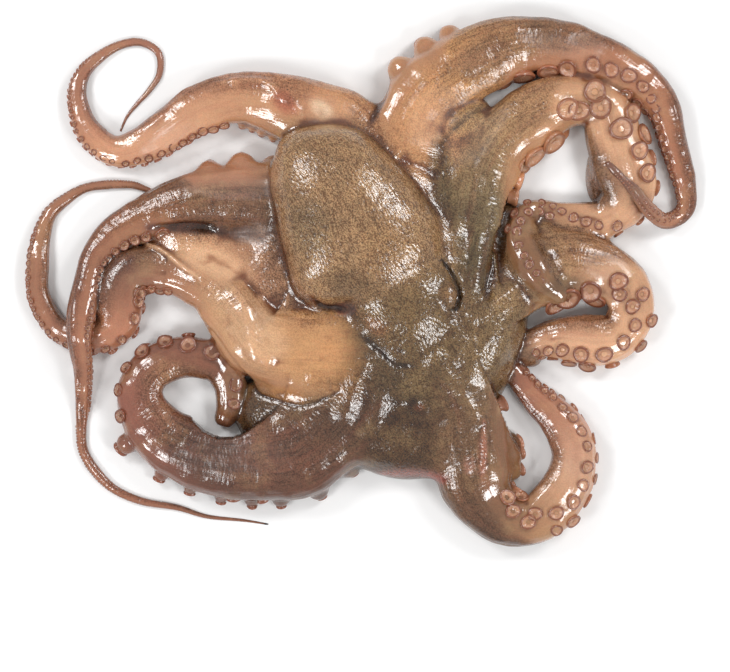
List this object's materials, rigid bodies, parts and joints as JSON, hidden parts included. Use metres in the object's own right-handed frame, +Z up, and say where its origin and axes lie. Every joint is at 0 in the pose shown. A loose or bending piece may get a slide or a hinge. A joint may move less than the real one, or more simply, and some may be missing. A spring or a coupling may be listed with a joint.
{
  "type": "whole octopus",
  "caption": "Whole raw octopus lying on its oral side, mantle flopped over the arm bases, arms spread and curled with rows of suckers.",
  "frame": {"origin": "middle of the footprint, on the surface the octopus lies on", "axes": "+X along the longest spread of the arms, +Z up from the surface, +Y from the lower arms towards the blunt end of the mantle"},
  "size_m": [0.5164, 0.4082, 0.068],
  "materials": {
    "octopus_skin": "wet, mottled olive brown above, pinkish tan on the arms' sides, with peach suckers"
  },
  "bodies": {
    "root": {"octopus": "octopus_skin"}
  },
  "joints": []
}
